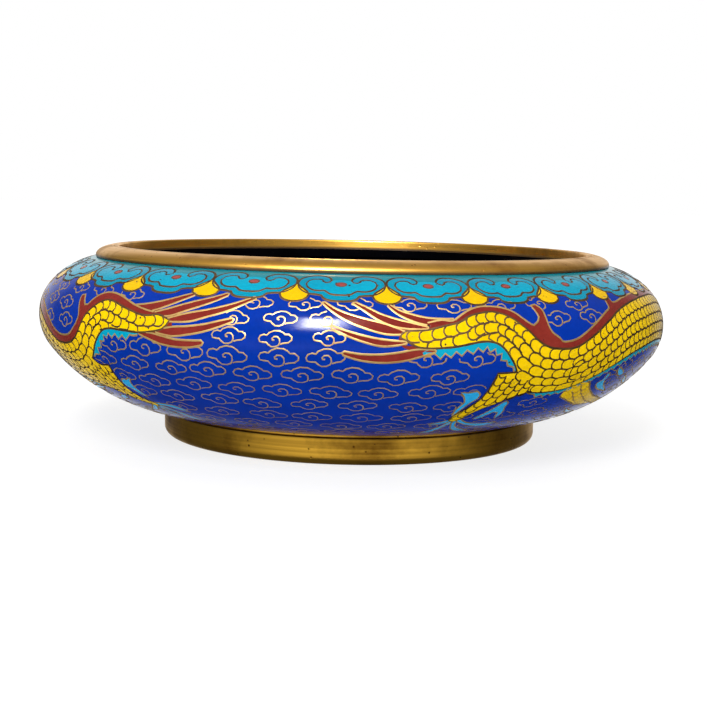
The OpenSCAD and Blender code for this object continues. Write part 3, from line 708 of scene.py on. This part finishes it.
east = {
    "top": [
        (12.6, 3.6), (14, 4.6), (15.5, 4.7), (20, 4.9), (25, 6), (29, 7), (32, 8.6), (35.5, 9.5), (38.5, 9.9),
        (42, 9.3), (45, 7.9), (48, 5.7), (50, 4), (52, 2), (54, 0.6), (57, -0.6), (60, -1), (63, -1.2),
        (66, -1), (69, -0.1), (72, 1.2), (76, 3.1), (80, 5), (84, 6.6), (88, 8.2), (92, 9.3), (96, 10.1),
        (100, 10.8), (105, 11.3), (110, 11.8)] + back_top,
    "bottom": [
        (12.6, 2.8), (14, 2.2), (16, 1), (18, 0.3), (21, 0.1), (25, 0.3), (28, 0.6), (31, 1.1), (34, 1.6),
        (37, 1.7), (39.5, 1.2), (41.5, 0), (43, -1.4), (44.5, -3.2), (46, -5.2), (47, -7), (47, -7),
        (44, -7.2), (41, -7.3), (41, -7.3), (40.6, -10), (40.2, -14), (39, -18), (36.5, -22), (34, -25.5),
        (33.5, -28.5), (35.2, -29.6), (37, -28.5), (39, -25.5), (42, -22.5), (46, -20), (49.5, -17.5), (53, -16),
        (55, -15.5), (60, -15.9), (65, -15.7), (70, -15), (74, -13.8), (78, -12), (82, -10), (86, -8),
        (90, -6.4), (95, -4.8), (100, -3.8), (105, -3), (110, -2.4)] + back_bottom,
    "fin": [
        (20, 6.8), (24, 7.6), (27, 7.4), (30, 9.2), (33, 10.8), (36, 11.6), (40, 11.6), (43, 11.1), (46, 9.8),
        (49, 7.4), (51.6, 5.8), (53, 6.6), (54, 8.2), (53.4, 10.2), (52.8, 11.8), (54.2, 12.1), (55.9, 10.4),
        (56.3, 8), (56.6, 5.6), (57.6, 3.6), (60, 2), (61, 1), (64, 0.9), (67, 1.5), (70, 2.8), (74, 4.8), (78, 6.8),
        (82, 8.6), (84.5, 9.7), (85, 11.6), (85.5, 13.4), (88, 13.2), (88.2, 11.6), (90, 11.4), (95, 12.4),
        (100, 13.1), (106, 13.8), (112, 14.2)],
    "hair": [
        [(-8, 12.4, 0.4), (-5.5, 10.4, 0.6), (-1, 8, 1), (4, 6.2, 1.3), (9, 4.9, 1.3), (14, 4.1, 0.3)],
        [(0.5, 12.5, 0.4), (3.4, 10.7, 0.65), (7, 8.4, 0.95), (11, 6.9, 1.1), (15, 6.1, 0.9), (20, 5.4, 0.3)],
        [(9.8, 12, 0.4), (12, 10.1, 0.6), (16, 8.3, 0.9), (20, 7.2, 1), (25, 7, 0.9), (30, 7.8, 0.3)],
        [(-5.4, 5.3, 0.4), (-1, 3.6, 0.6), (4, 2, 0.8), (8, 1.3, 0.85), (14, 1.6, 0.3)],
        [(-2.2, -1.5, 0.5), (2, -2.5, 0.8), (7, -2.8, 1.05), (12, -2.3, 1.2), (17, -1.3, 1.1), (22, -0.6, 0.3)]],
    "hair_root": [(13, 6.6), (20, 6.9), (27, 7.6), (30, 7), (16, 4), (13, 1.2), (21, 0.6), (16, -0.6), (12, 1.4),
                  (12.4, 4)],
    "fringes": [([(18.8, -1.6), (21, -0.3), (25, 0.5), (31, 1.3), (37, 1.9), (41.5, 0.2), (44.5, -3), (46.6, -6.4)],
                 3.0), ([(55, -15.4), (60, -15.7), (65, -15.5), (70, -14.8), (78, -11.8), (86, -7.8),
                         (95, -4.6), (105, -2.8), (118, -2), (138, -5.2), (157, -12.4), (170, -16)], 2.3),
                ([(190, -16.2), (206, -9.6), (222, -4), (234, -3)], 2.2)],
    "second_leg": [
        (71, -18.6), (74, -20.2), (78, -22), (83, -24), (88, -25.8), (94, -26.4), (101, -26.8), (108, -28.6),
        (113, -29.6), (113, -27.4), (106, -25.2), (99, -23), (93, -21.4), (88, -19), (84, -16.8),
        (80, -13.6), (72, -14.4)],
    "wisps": [
        [(32, -14.2), (34, -14.4), (37, -14), (38.3, -15.5), (38.2, -17), (37, -18.4), (35.8, -20.4),
         (34.6, -23), (33.4, -25.8), (33.4, -25.8), (33, -23), (33.8, -20.5), (34.6, -18.5), (34, -17),
         (33.2, -15.6)],
        [(49.4, -19), (50.4, -20), (50.3, -22), (51.2, -24), (51.6, -26.5), (51, -28.8), (50.2, -27),
         (49.6, -25), (48, -24.6), (46.5, -25.8), (44.4, -28), (42, -28.5), (43.5, -26.6), (45.2, -24.4),
         (46.8, -22), (48, -20)],
        [(87.5, -10.5), (89.3, -11.5), (88.8, -13.2), (90.5, -15.2), (94, -17.4), (99, -20), (99, -20),
         (95, -19), (90, -17.6), (86.5, -15.8), (85.6, -14.4), (87.4, -13.4)],
        [(91.8, -9), (97, -10.8), (99, -12), (97.5, -13), (93, -10.6)],
        [(103, -13), (106, -14.4), (110, -16.4), (114, -18), (111, -18), (107, -16.6)],
        [(86, -28), (90, -29.5), (96, -31.4), (101, -32.4), (95, -32.6), (89, -30.6)]],
    "claws": [
        [(35, -29.2, 0.8), (33.5, -33, 0.7), (31.5, -36.5, 1.1), (29.5, -39.3, 1.2), (27, -40.5, 0.2)],
        [(36, -29.2, 0.8), (37, -33, 0.7), (39.5, -36.3, 1.1), (43, -38.4, 1.2), (46.5, -39, 0.2)],
        [(37, -28.8, 0.8), (40.5, -31.4, 0.7), (45, -33, 1.0), (50, -33.6, 1.3), (54, -32, 0.2)],
        [(34.4, -28.6, 0.7), (31, -30.6, 0.8), (27.5, -31.5, 0.2)],
        [(112, -28.6, 0.9), (117, -30.8, 0.8), (121, -34, 1.1), (123, -37.6, 0.2)],
        [(112, -28.6, 0.9), (118, -28.6, 0.8), (123, -30, 1.1), (128, -32.6, 0.2)],
        [(112, -28.6, 0.9), (116.5, -26, 0.8), (121, -25, 1.1), (126, -25.6, 0.2)]],
    "leg_edge": [(34, -27.5), (36.5, -22.6), (39, -18.4), (40.2, -14), (40.8, -10), (41.4, -7)],
    "second_edge": [(113, -27.4), (106, -25.2), (99, -23), (93, -21.4), (88, -19), (84, -16.8), (80, -13.6)],
    "front_leg": [(41, -6.8), (46.5, -8), (51, -9.6), (55, -12), (57, -15.6), (46, -20), (42, -22.5), (39, -25.5), (37, -28.5), (35.2, -29.6),
                  (33.5, -28.5), (34, -25.5), (36.5, -22), (39, -18), (40.2, -14), (40.6, -10)],
    "thigh_curl": (70, -8)}
for toe_u, toe_s, ways in ((165, -29, (-150, -110, -70, -30)), (229, -22, (-120, -75, -35, 10))):
    for way in ways:
        reach = [(math.cos(math.radians(way + bend)) * step, math.sin(math.radians(way + bend)) * step, half)
                 for step, bend, half in ((0.2, 0, 0.9), (3.4, 0, 0.75), (6.8, 12, 1.1), (9.8, 24, 0.2))]
        east["claws"].append([(toe_u + x, toe_s + y, half) for x, y, half in reach])

west = {
    "top": [
        (-52, 5), (-56, 6.3), (-60, 5.8), (-63, 5.9), (-66, 6.6), (-70, 7.6), (-74, 8.7), (-78, 9.2), (-81, 8.2),
        (-84, 6.2), (-86.5, 3.8), (-88.5, 1), (-90.5, -1.6), (-94, -4), (-98, -5.2), (-102, -5.7),
        (-106, -5.6), (-110, -4.4), (-114, -2.6), (-118, -0.8), (-122, 0.8), (-126, 1.8), (-130, 2.6),
        (-138, 5.4), (-146, 8), (-154, 9.8), (-162, 10.6), (-170, 10.4)] + mirrored(back_top[2:]),
    "bottom": [
        (-52.6, 4), (-54, 2.6), (-58, 1.6), (-62, 1), (-66, 1), (-70, 1.1), (-74, 1.2), (-77, 0.6),
        (-79.5, -1.6), (-81.5, -4), (-83.5, -6.6), (-86, -9), (-86, -9), (-84, -10.9), (-79, -10.5),
        (-79, -10.5), (-79.8, -14), (-80.2, -18), (-79.5, -22), (-77, -25), (-72.5, -28), (-73.5, -29.5),
        (-78, -28.2), (-83, -26.8), (-88, -24.5), (-92, -22.8), (-97, -22.4), (-102, -21.6), (-110, -20.6),
        (-118, -18.4), (-126, -15.6), (-134, -12.2), (-142, -8.8), (-150, -6), (-158, -4.6), (-168, -4.6)]
        + mirrored(back_bottom[2:]),
    "fin": [
        (-58, 7), (-62, 7.6), (-66, 8.6), (-70, 10), (-74, 11.2), (-78, 11.7), (-82, 11), (-85, 9), (-87, 6.9),
        (-88.2, 6.8), (-89.5, 8), (-91, 10), (-92.5, 9.6), (-92, 7.5), (-91, 5.6), (-90.2, 3.4), (-91, 1.6),
        (-93, -0.4), (-96, -2.3), (-100, -3), (-104, -2.9), (-108, -1.6), (-112, 0.4), (-116, 2.2),
        (-120, 3.8), (-125, 5), (-130, 5.6)],
    "hair": [
        [(-46.8, 13.4, 0.5), (-50, 11.9, 0.8), (-54, 10.2, 1), (-58, 8.8, 1.2), (-62, 7.9, 1.2), (-67, 8.2, 0.3)],
        [(-36.6, 14, 0.5), (-40, 12.1, 0.8), (-44, 10.4, 1), (-48, 8.9, 1.1), (-53, 7.2, 1.1), (-58, 6.6, 0.3)],
        [(-27.8, 13.2, 0.5), (-32, 10.9, 0.7), (-36, 9.2, 0.9), (-41, 7.6, 1), (-46, 6.2, 1.2), (-53, 5, 0.4)],
        [(-33, 6.2, 0.5), (-37, 4.8, 0.8), (-41, 3.6, 0.95), (-46, 2.6, 1.1), (-51, 2, 1.2), (-56, 1.9, 0.4)],
        [(-41.4, -0.4, 0.6), (-45, -0.9, 0.9), (-50, -1, 1), (-54, -0.5, 1.1), (-58, 0.3, 0.9), (-62, 0.8, 0.3)]],
    "hair_root": [(-50, 6.6), (-56, 7.8), (-62, 8.4), (-66, 7.4), (-56, 5), (-54, 2.4), (-60, 1.6), (-56, 0.4), (-50, 1.6),
                  (-51, 4)],
    "fringes": [([(-86, -8.4), (-83.5, -6.2), (-81.5, -3.6), (-79.5, -1.2), (-77, 0.9), (-74, 1.5), (-70, 1.4),
                  (-66, 1.2), (-62.6, 0.6)], 3.0),
                (mirrored([(105, -3), (118, -2), (138, -5.2), (157, -12.4), (170, -16)])[::-1][:3]
                 + [(-158, -4.4), (-150, -5.8), (-142, -8.6), (-134, -12), (-126, -15.4), (-118, -18.2),
                    (-110, -20.4), (-98, -22.2)], 2.3),
                (mirrored([(190, -16.2), (206, -9.6), (222, -4), (234, -3)])[::-1], 2.2)],
    "second_leg": [
        (-106, -20), (-112, -24), (-120, -27), (-128, -29), (-136, -30.4), (-144, -33), (-145, -31),
        (-138, -27.4), (-130, -24.6), (-124, -20), (-120, -16)],
    "wisps": [
        [(-79, -17), (-77.6, -15.9), (-75.8, -16), (-74.4, -15.4), (-73, -15), (-73, -15), (-74.6, -17),
         (-75, -18.6), (-74, -21), (-73, -24), (-73, -24), (-75.4, -22.4), (-77, -20.4), (-78.8, -19.4),
         (-79.4, -18)],
        [(-96, -29), (-93, -26.6), (-90, -26), (-88, -27), (-90, -28.2), (-94, -29)],
        [(-99, -23.2), (-106, -24), (-116, -26), (-128, -28.6), (-128, -28.6), (-118, -28), (-108, -26), (-101, -24.4)]],
    "claws": [
        [(-74, -28.6, 0.9), (-69, -30.6, 0.7), (-65, -33.6, 1.1), (-62.5, -36.6, 1.2), (-60, -37.6, 0.2)],
        [(-74.4, -29, 0.9), (-72, -33, 0.7), (-71.6, -36.6, 1.1), (-73, -39.6, 0.2)],
        [(-73, -28, 0.9), (-68, -27.6, 0.7), (-63.6, -28.4, 1.1), (-59.6, -30.6, 0.2)],
        [(-75.5, -29.2, 0.8), (-79, -32.4, 0.9), (-83, -33.6, 0.2)],
        [(-144, -32, 0.9), (-149, -33, 0.8), (-153, -35.4, 1.1), (-156, -38.6, 0.2)],
        [(-144, -32, 0.9), (-150, -30.4, 0.8), (-155, -30.8, 1.1), (-160, -33, 0.2)],
        [(-143, -32, 0.9), (-145, -35.4, 0.8), (-145.6, -38.6, 1.1), (-144, -41.6, 0.2)]],
    "leg_edge": [(-73.5, -28), (-77, -25.2), (-79.5, -22), (-80.2, -18), (-79.8, -14), (-79.4, -11)],
    "second_edge": [(-145, -31), (-138, -27.4), (-130, -24.6), (-124, -20), (-120, -16)],
    "front_leg": [
        (-79, -10.5), (-86, -10.8), (-92, -13), (-97, -17), (-97, -22.4), (-88, -24.5), (-83, -26.8), (-78, -28.2), (-73.5, -29.5),
        (-72.5, -28), (-77, -25), (-79.5, -22), (-80.2, -18), (-79.8, -14)],
    "thigh_curl": (-106, -13)}
west["claws"] += [mirrored(claw) for claw in east["claws"][7:]]

sky_blue = enamel("sky blue enamel", (0.03, 0.42, 0.80), (0.01, 0.30, 0.62))
red = enamel("brick red enamel", (0.24, 0.027, 0.018), (0.16, 0.015, 0.010))
white = enamel("white enamel", (0.80, 0.80, 0.74), (0.66, 0.66, 0.60), 0.5)
black = enamel("black enamel", (0.01, 0.01, 0.012), (0.005, 0.005, 0.006), 0.0)
body_yellow = enamel("deep yellow enamel", (0.92, 0.62, 0.0), (0.68, 0.42, 0.0))


def fin_line(front, back):
    """Upper edge of the whole fin: the drawn front, then a raised back with spikes, sinking at the neck."""
    line = spaced(flowing(back), 0.9)
    along, left = sideways(line)
    side = 1 if line[-1, 0] > line[0, 0] else -1
    run = np.arange(len(line)) * 0.9
    spike = np.clip(1 - np.abs(run % 33 - 16) / 2.4, 0, 1) ** 0.7
    height = (2.3 + 2.9 * spike) * np.clip((run[-1] - run) / 12, 0.1, 1)
    return np.vstack([flowing(front), line + side * left * height[:, None]])


for side, plan in (("east", east), ("west", west)):
    turn_back = (lambda points: points) if side == "east" else mirrored
    top, bottom = flowing(plan["top"]), flowing(plan["bottom"])
    body = np.vstack([top, bottom[::-1]])
    fin_start = 112 if side == "east" else 130
    back = [p for p in plan["top"] if abs(p[0]) > fin_start]
    fin_edge = fin_line(plan["fin"], back)
    lowered = [(u, s - 1.0) for u, s in top if abs(u) > abs(plan["fin"][0][0])][::-1]
    fin = np.vstack([fin_edge, lowered])
    hair = [strand(points) for points in plan["hair"]]
    root = flowing(plan["hair_root"], closed=True)
    fringes = [fringed(flowing(edge), depth) for edge, depth in plan["fringes"]]
    head = flowing(turn_back(head_points), closed=True)
    mouth = flowing(turn_back(mouth_points), closed=True)
    tongue = strand(turn_back(tongue_points))
    horn, brow = strand(turn_back(horn_points)), strand(turn_back(brow_points))
    mane = [strand(turn_back(points)) for points in mane_strands]
    beard = [strand(turn_back(points)) for points in beard_strands]
    legs = [strand(turn_back(points)) for points in back_legs]
    second = flowing(plan["second_leg"], closed=True)
    wisps = [flowing(points, closed=True) for points in plan["wisps"]]
    claws = [strand(points) for points in plan["claws"]]
    eye_u = turn_back([(251.6, 7.2)])[0]
    ear = strand(turn_back(ear_points))
    teeth = [np.array(turn_back(points)) for points in tooth_points]
    ring = np.arange(12) * math.tau / 12
    eye = np.array([(eye_u[0] + 1.5 * math.cos(a), eye_u[1] + 1.1 * math.sin(a)) for a in ring])
    pupil = np.array([(eye_u[0] + 0.6 * math.cos(a), eye_u[1] + 0.7 * math.sin(a)) for a in ring])

    lay_cells(side + "_fin", [fin], 1, red, "red_enamel", side + "_fin")
    lay_cells(side + "_tail_hair", hair + [root], 1, red, "red_enamel", side + "_tail_hair")
    lay_cells(side + "_fringe", [area for area, _ in fringes], 1, bright_turquoise,
              "turquoise_enamel", side + "_fringe")
    lay_cells(side + "_body", [body], 2, body_yellow, "yellow_enamel", side + "_scales")
    lay_cells(side + "_hind_leg", [second], 1, body_yellow, "yellow_enamel", side + "_legs")
    lay_cells(side + "_fore_legs", legs, 3, body_yellow, "yellow_enamel", side + "_legs")
    lay_cells(side + "_wisps", wisps, 1, sky_blue, "sky_enamel", side + "_claws")
    lay_cells(side + "_claws", claws, 1, sky_blue, "sky_enamel", side + "_claws")
    lay_cells(side + "_mane", mane, 1, red, "red_enamel", side + "_mane")
    lay_cells(side + "_beard", beard, 1, turquoise, "turquoise_enamel", side + "_mane")
    lay_cells(side + "_mouth", [mouth], 1, red, "red_enamel", side + "_head")
    lay_cells(side + "_head", [head], 4, yellow, "yellow_enamel", side + "_head")
    lay_cells(side + "_tongue", [tongue], 2, red, "red_enamel", side + "_head")
    lay_cells(side + "_teeth", teeth, 3, white, "yellow_enamel", side + "_head")
    lay_cells(side + "_horn_and_brow", [horn, brow], 5, sky_blue, "sky_enamel", side + "_head")
    lay_cells(side + "_ear", [ear], 5, red, "red_enamel", side + "_head")
    lay_cells(side + "_eye", [eye], 5, white, "yellow_enamel", side + "_head")
    lay_cells(side + "_pupil", [pupil], 6, black, "lining", side + "_head")

    lower = [fin_edge] + [teeth for _, teeth in fringes]
    blocks = [body, head] + legs
    low_lines = [run for line in lower for run in clear_runs(line, False, blocks)]
    for strands in (hair, mane, beard, wisps, claws, [second, mouth, tongue]):
        for line in strands:
            low_lines += clear_runs(line, True, blocks + ([fin] if strands is hair else [])
                                    + ([a for a, _ in fringes] if line is second else []))
    high_lines = clear_runs(body, True, [head] + legs)
    high_lines += [run for leg in legs for run in clear_runs(leg, True, [head])]
    top_lines = [(head, True), (horn, True), (brow, True), (eye, True), (ear, True)]
    top_lines += [(flowing(turn_back(line)), False) for line in face_lines]
    top_lines += [(flowing(turn_back(whisker)), False) for whisker in whiskers]
    flip = 1 if side == "east" else -1
    front_leg = np.array(plan["front_leg"])
    scales = scale_wires(top, -flip, body, [head, front_leg])
    scales += scale_wires(flowing(plan["leg_edge"]), -flip, front_leg, [], 3.1, 7)
    scales = [run for line, _ in scales for run in clear_runs(line, False, [head] + legs)]
    for points, leg in zip(back_legs, legs):
        middle = flowing(turn_back(points)[::-1])
        _, left = sideways(middle[:, :2])
        scales += scale_wires(middle[:, :2] + left * middle[:, 2:], -1, leg, [], 3.2, 3)
    second_scales = scale_wires(flowing(plan["second_edge"]), flip, second, [body], 3.2, 3)
    low_lines += [run for line, _ in second_scales for run in clear_runs(line, False, [a for a, _ in fringes])]
    curl_u, curl_s = plan["thigh_curl"]
    curl = [(curl_u + flip * 3.2 * math.cos(a), curl_s + 3.4 * math.sin(a)) for a in np.radians(np.arange(70, 291, 22))]
    lay_wires(side + "_low_wires", low_lines, 1, OUTLINE_WIRE, wire_brass, side + "_wires")
    lay_wires(side + "_body_wires", high_lines + scales + [(np.array(curl), False)], 2, SCALE_WIRE,
              shaded_wire_brass, side + "_wires")
    lay_wires(side + "_head_wires", top_lines, 4.5, OUTLINE_WIRE, shaded_wire_brass, side + "_wires")
    covered += [body, fin, head, mouth, tongue, horn, second] + hair + mane + beard + legs + wisps + claws
    covered += [area for area, _ in fringes]

# ---- Flaming pearl -----------------------------------------------------------------------------------------
# A coral pearl with a spiral wire lies between the two heads at the back, in six red flames.
PEARL_U = MEETING_U + math.pi * BOWL_R
PEARL_R = 5.0
pearl = np.array([(PEARL_U + PEARL_R * math.cos(a), PEARL_R * math.sin(a)) for a in np.arange(28) * math.tau / 28])
flames = []
for way in range(30, 360, 60):
    steps = ((5.2, 0, 1.7), (7.6, 7, 1.5), (10.4, 2, 1.0), (13.6, -8, 0.2))
    flames.append(strand([(PEARL_U + step * math.cos(math.radians(way + bend)),
                           step * math.sin(math.radians(way + bend)), half) for step, bend, half in steps]))
spiral = np.array([(PEARL_U + (0.5 + 0.13 * k) * math.cos(k * 0.5), (0.5 + 0.13 * k) * math.sin(k * 0.5))
                   for k in range(28)])
lay_cells("pearl", [pearl], 2, coral, "coral_enamel", "pearl")
lay_cells("pearl_flames", flames, 1, red, "red_enamel", "pearl_flames")
lay_wires("pearl_wires", [(pearl, True), (spiral, False)] + [run for f in flames for run in clear_runs(f, True, [pearl])],
          2, OUTLINE_WIRE, wire_brass, "pearl_flames")
covered += [pearl] + flames

# ---- Scroll clouds -----------------------------------------------------------------------------------------
# Thin wires bent into scroll-headed clouds fill the blue ground in staggered rows, cut short where they
# would run under the dragons or the border.
CLOUD_WIRE = 0.50
CLOUD_PITCH = 13.2
cloud = np.array([
    (-0.1, -0.5), (-0.8, -0.4), (-0.9, 0.2), (-0.2, 0.8), (0.9, 0.8), (1.6, 0), (1.7, -1.2), (1.3, -2.3),
    (0.2, -2.9), (-1.2, -2.9), (-2.2, -2.1), (-2.8, -1.3), (-4, -1.2), (-5.1, -0.9), (-5.4, 0.2), (-4.8, 1.3),
    (-3.6, 1.7), (-2.6, 1.4), (-1.8, 2.3), (-0.2, 3), (1.6, 2.9), (2.8, 2.2), (3.4, 1.5), (4.6, 1.5),
    (5.6, 0.6), (5.5, -0.5), (4.5, -1.4), (3, -1.6), (1.8, -2)])
cloud_rows = [12.2, 7.2, 2.1, -3, -8.4, -14.2, -20.4, -26.8, -33, -39]
full_turn = math.tau * BOWL_R
dice = random.Random(11)
cloud_lines = []
for row, cloud_s in enumerate(cloud_rows):
    row_r = float(outline(cloud_s)[0])
    count = round(math.tau * row_r / CLOUD_PITCH)
    for k in range(count):
        tilt = math.radians(dice.uniform(-5, 5))
        size = dice.uniform(0.93, 1.05) * (0.84 if cloud_s > 0 else 1)
        middle = ((k + row % 2 / 2) / count * full_turn - full_turn / 2 + MEETING_U + dice.uniform(-0.9, 0.9),
                  cloud_s + dice.uniform(-0.5, 0.5))
        turned_cloud = cloud @ np.array([[math.cos(tilt), math.sin(tilt)], [-math.sin(tilt), math.cos(tilt)]]) * size
        line = turned_cloud * (BOWL_R / row_r, 0.86) + middle
        runs = [run for run, _ in clear_runs(line, False, covered) if len(run) > 4]
        if sum(len(run) for run in runs) > 0.5 * len(line):
            cloud_lines += [(run, False) for run in runs]
lay_wires("cloud_wires", cloud_lines, 0, CLOUD_WIRE, wire_brass, "cloud_wires")

# ---- Studio ------------------------------------------------------------------------------------------------
# A pale table, one soft lamp in front and above, and a white room that is darker behind the camera.
table_top = 6.0
bpy.ops.mesh.primitive_circle_add(vertices=96, radius=table_top, fill_type="NGON", location=(0, 0, 0))
table = bpy.context.object
table.name = "table"
table.visible_glossy = False
pale = bpy.data.materials.new("pale table")
pale.use_nodes = True
table_tree = pale.node_tree
seen = node(table_tree, "ShaderNodeLightPath").outputs["Is Camera Ray"]
reach = node(table_tree, "ShaderNodeVectorMath", {0: node(table_tree, "ShaderNodeTexCoord").outputs["Object"]},
             operation="LENGTH").outputs["Value"]
glowing = maths(table_tree, "ADD", maths(table_tree, "MULTIPLY", ramp(table_tree, reach, 0.10, 0.34), 0.2), 0.8)
glowing = maths(table_tree, "MULTIPLY", glowing, seen)
table_surface = table_tree.nodes["Principled BSDF"]
table_tree.links.new(mixed(table_tree, seen, (0.80, 0.80, 0.80, 1), mixed(table_tree, glowing, (1, 1, 1, 1), (0, 0, 0, 1))),
                     table_surface.inputs["Base Color"])
table_tree.links.new(mixed(table_tree, glowing, (0, 0, 0, 1), (1, 1, 1, 1)), table_surface.inputs["Emission Color"])
table_surface.inputs["Emission Strength"].default_value = 1.0
table_tree.nodes["Principled BSDF"].inputs["Roughness"].default_value = 0.7
table.data.materials.append(pale)

room = bpy.data.worlds.new("room")
bpy.context.scene.world = room
room.use_nodes = True
sky = room.node_tree
sky.nodes.clear()
towards = node(sky, "ShaderNodeTexCoord").outputs["Generated"]
axes = node(sky, "ShaderNodeSeparateXYZ", {0: towards})
overhead = maths(sky, "MULTIPLY", ramp(sky, axes.outputs["Z"], 0.0, 0.7), 0.26)
behind = maths(sky, "MULTIPLY", ramp(sky, axes.outputs["Y"], 0.70, 0.98), ramp(sky, axes.outputs["Z"], -0.85, -0.3))
level_off = maths(sky, "ABSOLUTE", maths(sky, "ADD", axes.outputs["Z"], 0.12), 0.0)
horizon = maths(sky, "MULTIPLY", ramp(sky, level_off, 0.34, 0.0), ramp(sky, axes.outputs["Y"], -0.15, -0.90))
mirrored_room = maths(sky, "ADD", maths(sky, "MULTIPLY", behind, 0.9), maths(sky, "MULTIPLY", horizon, 1.0))
mirrored_room = maths(sky, "ADD", maths(sky, "ADD", mirrored_room, overhead), 0.06)
path = node(sky, "ShaderNodeLightPath")
ambient = 0.38
unlit = node(sky, "ShaderNodeMix", {0: path.outputs["Is Glossy Ray"], 2: ambient, 3: mirrored_room},
             data_type="FLOAT")
glow = node(sky, "ShaderNodeMix", {0: path.outputs["Is Camera Ray"], 2: unlit.outputs[0], 3: 1.0}, data_type="FLOAT")
white_room = node(sky, "ShaderNodeBackground", {"Color": (1, 1, 1, 1), "Strength": glow.outputs[0]})
node(sky, "ShaderNodeOutputWorld", {"Surface": white_room.outputs[0]})

bowl_middle = Vector((0, 0, 0.03))


def lamp(name, azimuth, elevation, distance, width, height, power):
    """A soft rectangular lamp aimed at the bowl; azimuth 0 is the front."""
    a, e = math.radians(azimuth), math.radians(elevation)
    away = Vector((math.sin(a) * math.cos(e), -math.cos(a) * math.cos(e), math.sin(e)))
    bpy.ops.object.light_add(type="AREA", location=bowl_middle + away * distance)
    made = bpy.context.object
    made.name = name
    made.data.shape = "RECTANGLE"
    made.data.size, made.data.size_y = width, height
    made.data.energy = power
    made.rotation_euler = (-away).to_track_quat("-Z", "Y").to_euler()
    return made


lamp("key_lamp", -11, 36, 1.6, 0.42, 0.70, 20)
glint_lamp = lamp("glint_lamp", -11, 37, 1.5, 0.28, 0.46, 42)
glint_lamp.visible_diffuse = False
top_lamp = lamp("top_lamp", 0, 80, 1.8, 1.6, 1.6, 12)
top_lamp.visible_glossy = False

camera_data = bpy.data.cameras.new("camera")
camera = bpy.data.objects.new("camera", camera_data)
bpy.context.collection.objects.link(camera)
camera_data.lens = 71.55
camera.location = (0, -0.460, 0.0791)
camera_pitch, camera_turn, camera_roll = math.radians(6.56), math.radians(-0.12), math.radians(1.28)
camera.rotation_mode = "XYZ"
camera.rotation_euler = (math.pi / 2 - camera_pitch, 0, camera_turn)
camera.rotation_euler.rotate_axis("Z", camera_roll)
bpy.context.scene.camera = camera
bpy.context.scene.view_settings.view_transform = "Standard"
